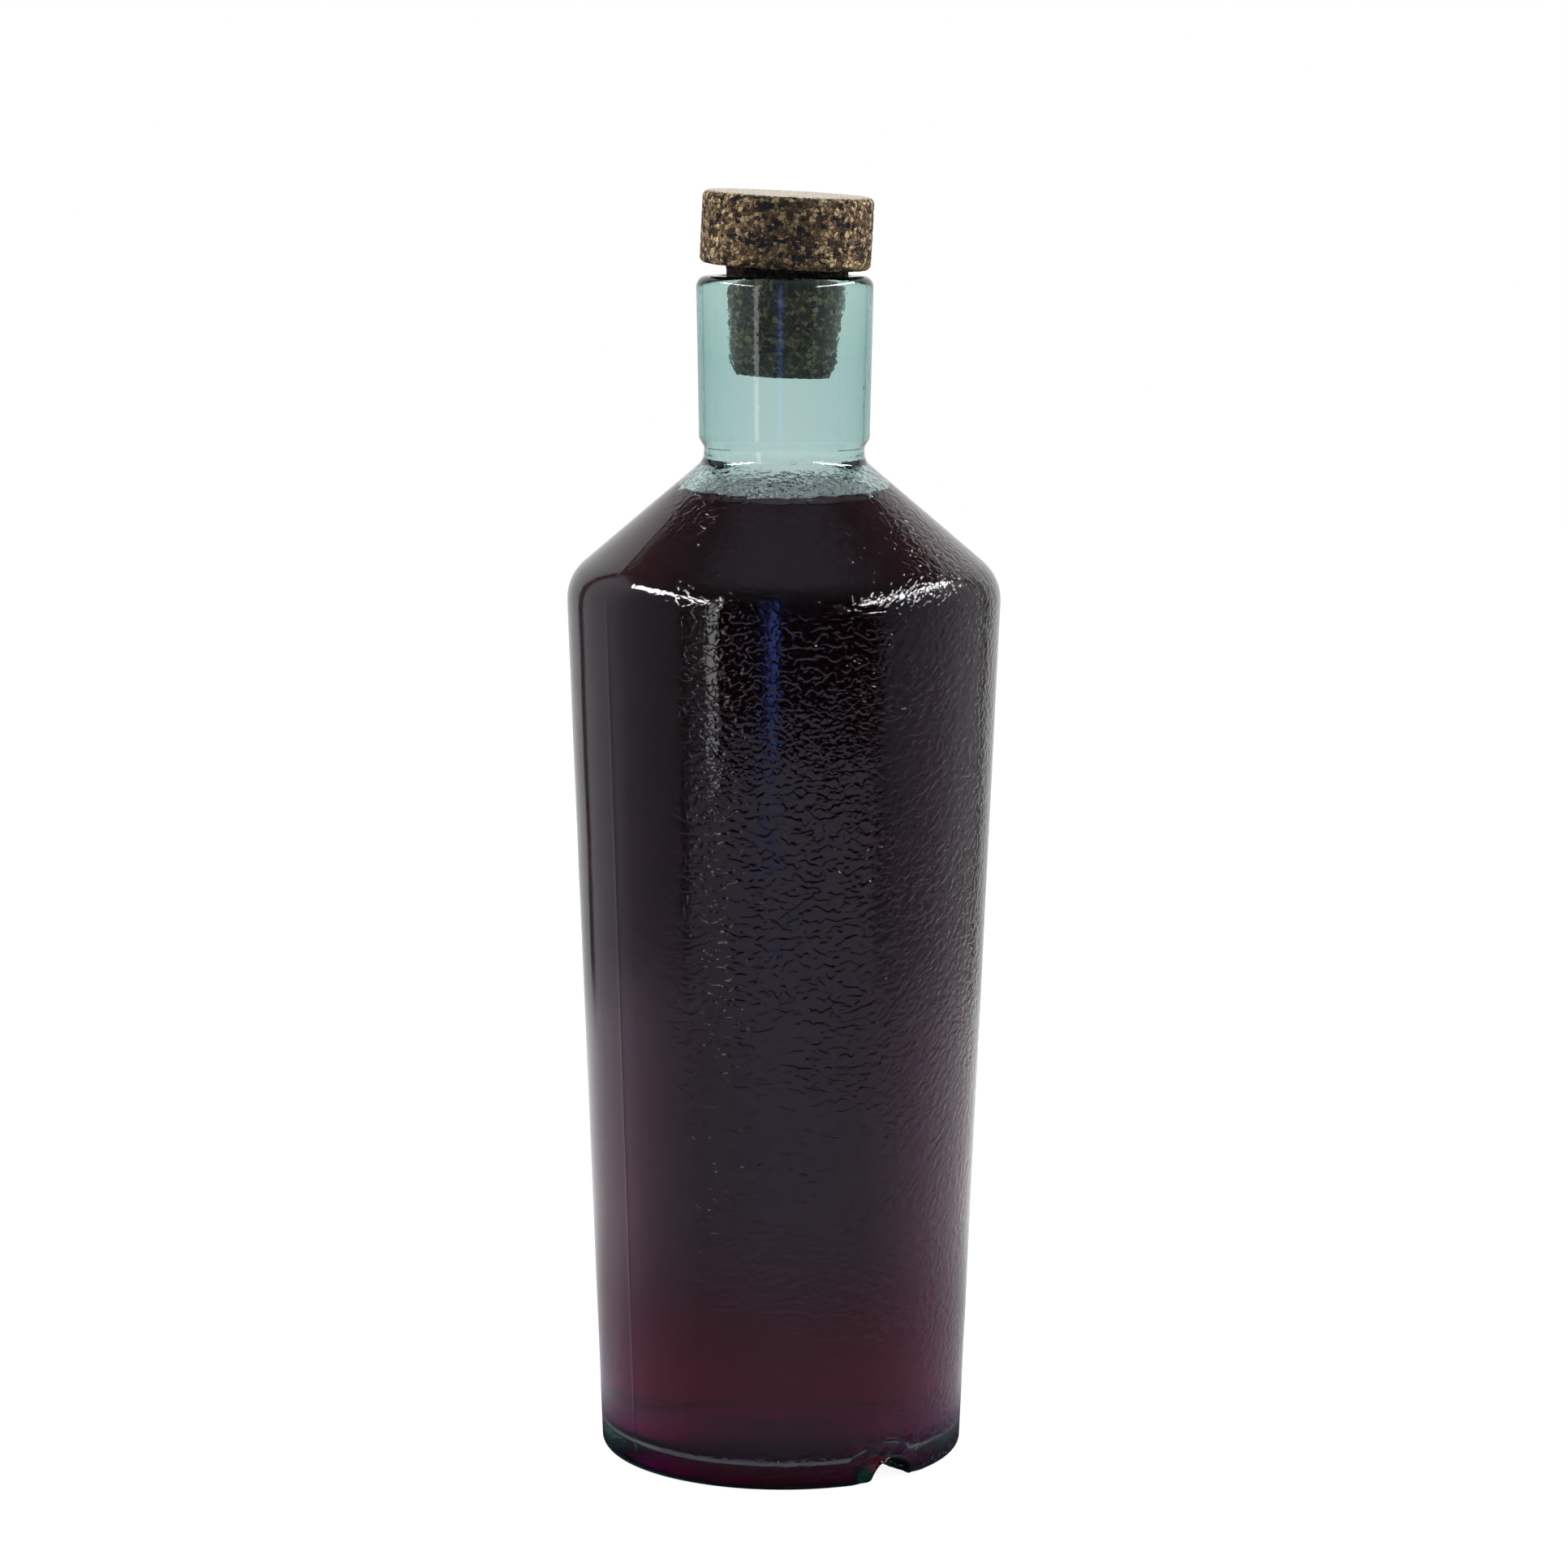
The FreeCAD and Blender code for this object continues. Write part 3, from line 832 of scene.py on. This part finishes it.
def corkMaterial():
    # pressed granules, each of its own tan, with dark joints and dark bark specks, and a paler top face,
    # sanded and painted paler as top light, with painted shade in the front middle and the gap, painted
    # light at the sides
    look = corkLook
    material, nodes, links, shader = newMaterial("pressedCork")
    place = nodes.new("ShaderNodeTexCoord").outputs["Object"]
    x, _, z = axesOf(nodes, links, place)
    warp = nodes.new("ShaderNodeTexNoise")
    warp.inputs["Scale"].default_value = 1 / look["warpSize"]
    links.new(place, warp.inputs["Vector"])
    shift = addNode(nodes, "ShaderNodeVectorMath", operation="MULTIPLY_ADD")
    links.new(warp.outputs["Color"], shift.inputs[0])
    shift.inputs[1].default_value = (look["warp"] * 2,) * 3
    links.new(place, shift.inputs[2])

    def cells(feature):
        node = addNode(nodes, "ShaderNodeTexVoronoi", feature=feature)
        node.inputs["Scale"].default_value = 1 / look["granule"]
        links.new(shift.outputs["Vector"], node.inputs["Vector"])
        return node

    grains = cells("F1")
    edge = cells("DISTANCE_TO_EDGE").outputs["Distance"]
    tone = addNode(nodes, "ShaderNodeSeparateColor")
    links.new(grains.outputs["Color"], tone.inputs["Color"])
    fine = noiseNode(nodes, links, place, 1 / look["fineSize"], 2.0, 0.6)
    uneven = product(nodes, links, mathNode(nodes, links, "SUBTRACT", fine, 0.5), look["fineShare"])
    shade = mathNode(nodes, links, "ADD", tone.outputs["Red"], uneven)
    ramp = nodes.new("ShaderNodeValToRGB")
    spots = ramp.color_ramp.elements
    lowTone, middleTone, highTone = look["tones"]
    spots[0].position, spots[0].color = lowTone, (*look["dark"], 1)
    spots[1].position, spots[1].color = highTone, (*look["pale"], 1)
    spots.new(middleTone).color = (*look["middle"], 1)
    links.new(shade, ramp.inputs["Fac"])
    joints = rampNode(nodes, links, edge, *look["joint"])
    jointed = mixColour(nodes, links, joints, ramp.outputs["Color"], (*look["dark"], 1))
    bark = noiseNode(nodes, links, grainSpace(nodes, links, place, *look["speck"]), 1.0, 3.0, 0.65)
    specks = rampNode(nodes, links, bark, *look["speckRamp"])
    # painted shade in the middle of the front and painted light towards the two sides, the colour scaled
    # by the distance across from the middle
    sideLitColour = addNode(nodes, "ShaderNodeVectorMath", operation="SCALE")
    links.new(jointed, sideLitColour.inputs[0])
    aside = mathNode(nodes, links, "ABSOLUTE", x)
    links.new(rampNode(nodes, links, aside, *look["paintedSideLight"]), sideLitColour.inputs["Scale"])
    body = mixColour(nodes, links, specks, sideLitColour.outputs["Vector"], (*look["darkSpeckAndShade"], 1))
    # the top face is rubbed pale in patches and painted paler still, as if lit from above
    up = axesOf(nodes, links, nodes.new("ShaderNodeNewGeometry").outputs["Normal"])[2]
    upward = rampNode(nodes, links, up, *look["upward"])
    rubbedAndTopLit = product(nodes, links, upward, rampNode(nodes, links, fine, *look["rubbedAndTopLit"]))
    withPaleLitTop = mixColour(nodes, links, rubbedAndTopLit, body, (*look["face"], 1))
    # painted shade in the gap under the head
    shaded = mixColour(nodes, links, gapShade(nodes, links, place, z), withPaleLitTop, (*look["darkSpeckAndShade"], 1))
    links.new(shaded, shader.inputs["Base Color"])
    granuleBump = rampNode(nodes, links, edge, *look["bumpEdge"])
    height = mathNode(nodes, links, "MULTIPLY_ADD", fine, look["bumpFine"], granuleBump)
    height = mathNode(nodes, links, "SUBTRACT", height, specks)
    bumpOn(nodes, links, shader, height, look["bump"], look["bumpStrength"])
    shader.inputs["Roughness"].default_value = look["roughness"]
    shader.inputs["Specular IOR Level"].default_value = look["shine"]
    return material


dress(glassPiece, glassMaterial())
dress(drinkPiece, drinkMaterial())
dress(corkPiece, corkMaterial())
dress(foamPiece, foamMaterial())
print("materials made")


# the stage, with its ramps written like the glass's; drinkDepth is the number of faces that a ray
# passes before it counts as one through the drink

stage = dict(frontHalf=0.84, frontBlend=0.1, backHalf=(0.38, 0.14), drinkDepth=5.5, roomPeak=8.0)
table = dict(
    r=2.2, sides=72, colour=(0.9, 0.9, 0.9, 1), bounce=(0.35, 0.35, 0.35, 1),
    shadow=0.2, whiteLevel=1.12, edgeFront=(0.68, 0.75), edgeSide=(0.36, 0.50),
    clearSide=(0.95, 0.95, 0.95, 1), clearFront=(0.55, 0.55, 0.55, 1),
    behindNear=(0.04, 0.22, 1.0, 0.12), behindFar=(0.3, 0.8, 1.0, 0.05), beside=(0.2, 0.9, 0.6, 0.06),
    under=(0.024, 0.035, 0.10, 1.0), closeNear=(0.034, 0.066, 0.03, 1.0),
    closeFar=(0.11, 0.21, 0.66, 1.0), throughFoot=0.2,
)
sky = dict(
    ceiling=(0.07, 0.05, 0.06, 1), zenith=(0.28, 0.24, 0.32, 1), wallTop=(0.56, 0.68),
    overhead=(0.86, 1.0), fromFront=(-0.8, 0.15, 0.08, 1.0), fromAbove=(0.2, 0.9),
    topLight=(0.9, 0.9, 0.9, 1), throughGlass=(0.94, 0.92, 0.95, 1),
    throughDrink=(0.10, 0.24, 0.05, 1.5),
)
softLight = dict(level=24.0, distance=1.4, height=0.15, aimZ=0.17)
# the room's brightness by degrees from the front, seen near by on the table and far off
roomNear = [
    (-180, 1.1, 1.1, 1.1), (-150, 1.0, 1.0, 1.0), (-124, 0.82, 0.75, 0.84), (-106, 0.89, 0.78, 0.95),
    (-90, 0.66, 0.57, 0.76), (-74, 0.53, 0.46, 0.62), (-48, 0.45, 0.40, 0.53), (0, 0.53, 0.48, 0.64),
    (48, 0.52, 0.46, 0.61), (74, 0.63, 0.55, 0.73), (90, 0.80, 0.70, 0.92), (106, 0.95, 0.85, 1.02),
    (124, 1.0, 0.95, 1.0), (152, 1.1, 1.1, 1.1), (180, 1.1, 1.1, 1.1),
]
roomFar = [
    (-180, 0.9, 0.9, 0.9), (-140, 0.6, 0.6, 0.6), (-138, 0.10, 0.06, 0.07), (-134, 0.10, 0.06, 0.07),
    (-131, 0.53, 0.50, 0.55), (-106, 0.52, 0.48, 0.56), (-90, 0.32, 0.28, 0.36), (-58, 0.20, 0.17, 0.22),
    (-56, 0.08, 0.06, 0.07), (-51, 0.08, 0.06, 0.07), (-49, 0.18, 0.16, 0.18), (-41, 0.20, 0.18, 0.20),
    (-39.5, 3.0, 2.95, 3.05), (-35, 3.0, 2.95, 3.05), (-34, 0.02, 0.0, 0.0), (-13, 0.02, 0.01, 0.02),
    (-8.5, 0.08, 0.10, 0.45), (-6.3, 0.35, 0.6, 2.3), (-4.3, 0.35, 0.6, 2.3), (-2.5, 0.02, 0.01, 0.02),
    (51, 0.02, 0.0, 0.0), (54, 0.20, 0.18, 0.23), (90, 0.40, 0.35, 0.44), (106, 0.58, 0.55, 0.61),
    (129, 0.53, 0.50, 0.54), (133, 0.2, 0.17, 0.18), (137, 0.2, 0.17, 0.18), (141, 0.7, 0.7, 0.7),
    (180, 0.9, 0.9, 0.9),
]


def tableRamp(nodes, links, value, table):
    # colours of up to roomPeak times white along a ramp of degrees
    ramp = nodes.new("ShaderNodeValToRGB")
    spots = ramp.color_ramp.elements
    for i, (degrees, *colour) in enumerate(table):
        share = (degrees + 180) / 360
        spot = spots[0] if i == 0 else spots[len(spots) - 1] if share == 1 else spots.new(share)
        spot.color = (*[part / stage["roomPeak"] for part in colour], 1)
    links.new(value, ramp.inputs["Fac"])
    bright = addNode(nodes, "ShaderNodeVectorMath", operation="SCALE")
    bright.inputs["Scale"].default_value = stage["roomPeak"]
    links.new(ramp.outputs["Color"], bright.inputs[0])
    return bright.outputs["Vector"]


def roomGroup():
    # the turn from the front, atan2(x, -y), picks the room's colours and tells front from back
    group = bpy.data.node_groups.new("roomAround", "ShaderNodeTree")
    group.interface.new_socket("Direction", in_out="INPUT", socket_type="NodeSocketVector")
    for name in ("Near", "Far"):
        group.interface.new_socket(name, in_out="OUTPUT", socket_type="NodeSocketColor")
    for name in ("Front", "Back"):
        group.interface.new_socket(name, in_out="OUTPUT", socket_type="NodeSocketFloat")
    nodes, links = group.nodes, group.links
    start, end = nodes.new("NodeGroupInput"), nodes.new("NodeGroupOutput")
    x, y, _ = axesOf(nodes, links, start.outputs["Direction"])
    turn = mathNode(nodes, links, "ARCTAN2", x, mathNode(nodes, links, "MULTIPLY", y, -1.0))
    share = mathNode(nodes, links, "MULTIPLY_ADD", turn, 0.5 / math.pi, 0.5)
    links.new(tableRamp(nodes, links, share, roomNear), end.inputs["Near"])
    links.new(tableRamp(nodes, links, share, roomFar), end.inputs["Far"])
    aside = mathNode(nodes, links, "ABSOLUTE", turn)
    half = stage["frontHalf"]
    front = rampNode(nodes, links, aside, half, half + stage["frontBlend"], 1.0, 0.0)
    back = rampNode(nodes, links, aside, *[math.pi - part for part in stage["backHalf"]])
    links.new(front, end.inputs["Front"])
    links.new(back, end.inputs["Back"])
    return group


room = roomGroup()


def pastDrink(nodes, links, path):
    # a ray that has crossed the drink has passed more faces than one through clear glass alone
    return mathNode(nodes, links, "GREATER_THAN", path.outputs["Transmission Depth"], stage["drinkDepth"])


def tableSeen(nodes, links, around, reach, path, inDrink):
    # mirrors see the pale table up to its edge and the room beyond it
    sideOn = rampNode(nodes, links, reach, *table["edgeSide"])
    frontOn = rampNode(nodes, links, reach, *table["edgeFront"])
    beyond = mixNode(nodes, links, "FLOAT", around.outputs["Front"], sideOn, frontOn)
    mirrored = mixColour(nodes, links, beyond, around.outputs["Near"], around.outputs["Far"])
    # clear glass shows it white, the drink shows it dim half way off, most of all behind
    close = rampNode(nodes, links, reach, *table["behindNear"])
    behind = product(nodes, links, close, rampNode(nodes, links, reach, *table["behindFar"]))
    beside = rampNode(nodes, links, reach, *table["beside"])
    away = mixNode(nodes, links, "FLOAT", around.outputs["Back"], beside, behind)
    inGlass = mathNode(nodes, links, "SUBTRACT", 1.0, inDrink)
    shown = mathNode(nodes, links, "MAXIMUM", away, inGlass)
    clear = mixColour(nodes, links, around.outputs["Front"], table["clearSide"], table["clearFront"])
    dimmed = mixColour(nodes, links, shown, (0, 0, 0, 1), clear)
    return mixColour(nodes, links, path.outputs["Is Transmission Ray"], mirrored, dimmed)


def tableLit(nodes, links, reach, path, inDrink):
    # a painted shadow: the table that mirrors and glass see is dimmed under and close round the bottle,
    # though the clear foot and the drink show some of it
    under = rampNode(nodes, links, reach, *table["under"])
    near = rampNode(nodes, links, reach, *table["closeNear"])
    close = product(nodes, links, near, rampNode(nodes, links, reach, *table["closeFar"]))
    least = product(nodes, links, path.outputs["Is Transmission Ray"], table["throughFoot"])
    clear = mathNode(nodes, links, "MAXIMUM", close, least)
    return mathNode(nodes, links, "MAXIMUM", clear, product(nodes, links, under, inDrink))


def tableMaterial():
    material, nodes, links, shader = newMaterial("floor")
    shader.inputs["Roughness"].default_value = 1.0
    shader.inputs["Specular IOR Level"].default_value = 0.0
    place = nodes.new("ShaderNodeTexCoord").outputs["Object"]
    path = nodes.new("ShaderNodeLightPath")
    byCamera = path.outputs["Is Camera Ray"]
    colour = mixColour(nodes, links, byCamera, table["bounce"], table["colour"])
    links.new(colour, shader.inputs["Base Color"])
    around = addNode(nodes, "ShaderNodeGroup", node_tree=room)
    links.new(place, around.inputs["Direction"])
    reach = lengthOf(nodes, links, place)
    inDrink = pastDrink(nodes, links, path)
    mirrored = nodes.new("ShaderNodeEmission")
    links.new(tableSeen(nodes, links, around, reach, path, inDrink), mirrored.inputs["Color"])
    links.new(tableLit(nodes, links, reach, path, inDrink), mirrored.inputs["Strength"])
    # the camera sees white, with a part of the real light so that the shadow stays
    white = nodes.new("ShaderNodeEmission")
    white.inputs["Strength"].default_value = table["whiteLevel"]
    real, plain = shader.outputs["BSDF"], white.outputs["Emission"]
    seen = mixShader(nodes, links, 1 - table["shadow"], real, plain)
    direct = mixShader(nodes, links, byCamera, real, seen)
    glossy, through = path.outputs["Is Glossy Ray"], path.outputs["Is Transmission Ray"]
    byGlass = mathNode(nodes, links, "MAXIMUM", glossy, through)
    surface = mixShader(nodes, links, byGlass, direct, mirrored.outputs["Emission"])
    links.new(surface, nodes["Material Output"].inputs["Surface"])
    return material


def makeFloor():
    # a disc: a fan of triangles from its middle to a ring x = r cos t, y = r sin t
    index = np.arange(table["sides"])
    turns = index * 2 * math.pi / table["sides"]
    ring = np.stack([np.cos(turns), np.sin(turns), 0 * turns], -1) * table["r"]
    fan = np.stack([0 * index, 1 + index, 1 + (index + 1) % table["sides"]], -1)
    mesh = bpy.data.meshes.new("floor")
    mesh.from_pydata(np.vstack([[0, 0, 0], ring]).tolist(), [], fan.tolist())
    floor = bpy.data.objects.new("floor", mesh)
    bpy.context.scene.collection.objects.link(floor)
    dress(floor, tableMaterial())


def makeWorld():
    world = bpy.data.worlds.new("studio")
    bpy.context.scene.world = world
    world.use_nodes = True
    nodes, links = world.node_tree.nodes, world.node_tree.links
    direction = nodes.new("ShaderNodeTexCoord").outputs["Generated"]
    path = nodes.new("ShaderNodeLightPath")
    around = addNode(nodes, "ShaderNodeGroup", node_tree=room)
    links.new(direction, around.inputs["Direction"])
    _, y, z = axesOf(nodes, links, direction)
    # walls up to about forty degrees, then a dim ceiling with a paler middle
    aboveWall = rampNode(nodes, links, z, *sky["wallTop"])
    overhead = rampNode(nodes, links, z, *sky["overhead"])
    ceiling = mixColour(nodes, links, overhead, sky["ceiling"], sky["zenith"])
    mirrored = mixColour(nodes, links, aboveWall, around.outputs["Far"], ceiling)
    # mirrors see the room, the camera and clear glass a white wall, the drink a wall that is dark
    # low down, everything else a soft plain light, weak from the front and stronger from above
    level = rampNode(nodes, links, y, *sky["fromFront"])
    high = rampNode(nodes, links, z, *sky["fromAbove"])
    fill = mixColour(nodes, links, high, level, sky["topLight"])
    plain = mixColour(nodes, links, path.outputs["Is Glossy Ray"], fill, mirrored)
    throughDrink = rampNode(nodes, links, z, *sky["throughDrink"])
    wall = mixColour(nodes, links, pastDrink(nodes, links, path), sky["throughGlass"], throughDrink)
    through = mixColour(nodes, links, path.outputs["Is Transmission Ray"], plain, wall)
    seen = mixColour(nodes, links, path.outputs["Is Camera Ray"], through, (1, 1, 1, 1))
    links.new(seen, nodes["Background"].inputs["Color"])


def softbox(name, azimuthDeg, elevationDeg, rollDeg, width):
    # an area lamp at an angle from the front, facing the bottle's shoulder
    height = softLight["height"]
    lamp = bpy.data.lights.new(name, "AREA")
    lamp.shape = "RECTANGLE"
    lamp.size, lamp.size_y = width, height
    lamp.energy = softLight["level"] * math.pi * width * height
    placed = bpy.data.objects.new(name, lamp)
    bpy.context.scene.collection.objects.link(placed)
    a, e = math.radians(azimuthDeg), math.radians(elevationDeg)
    away = Vector((math.sin(a) * math.cos(e), -math.cos(a) * math.cos(e), math.sin(e)))
    placed.location = Vector((0, 0, softLight["aimZ"])) + away * softLight["distance"]
    roll = Quaternion((0, 0, 1), math.radians(rollDeg))
    placed.rotation_euler = (away.to_track_quat("Z", "Y") @ roll).to_euler()
    placed.visible_camera = False
    placed.visible_transmission = False


softbox("softboxLeft", azimuthDeg=-74, elevationDeg=37, rollDeg=-9, width=1.3)
softbox("softboxRight", azimuthDeg=80, elevationDeg=36, rollDeg=10, width=1.9)
makeFloor()
makeWorld()
bpy.context.scene.view_settings.view_transform = "Standard"
print("stage set")
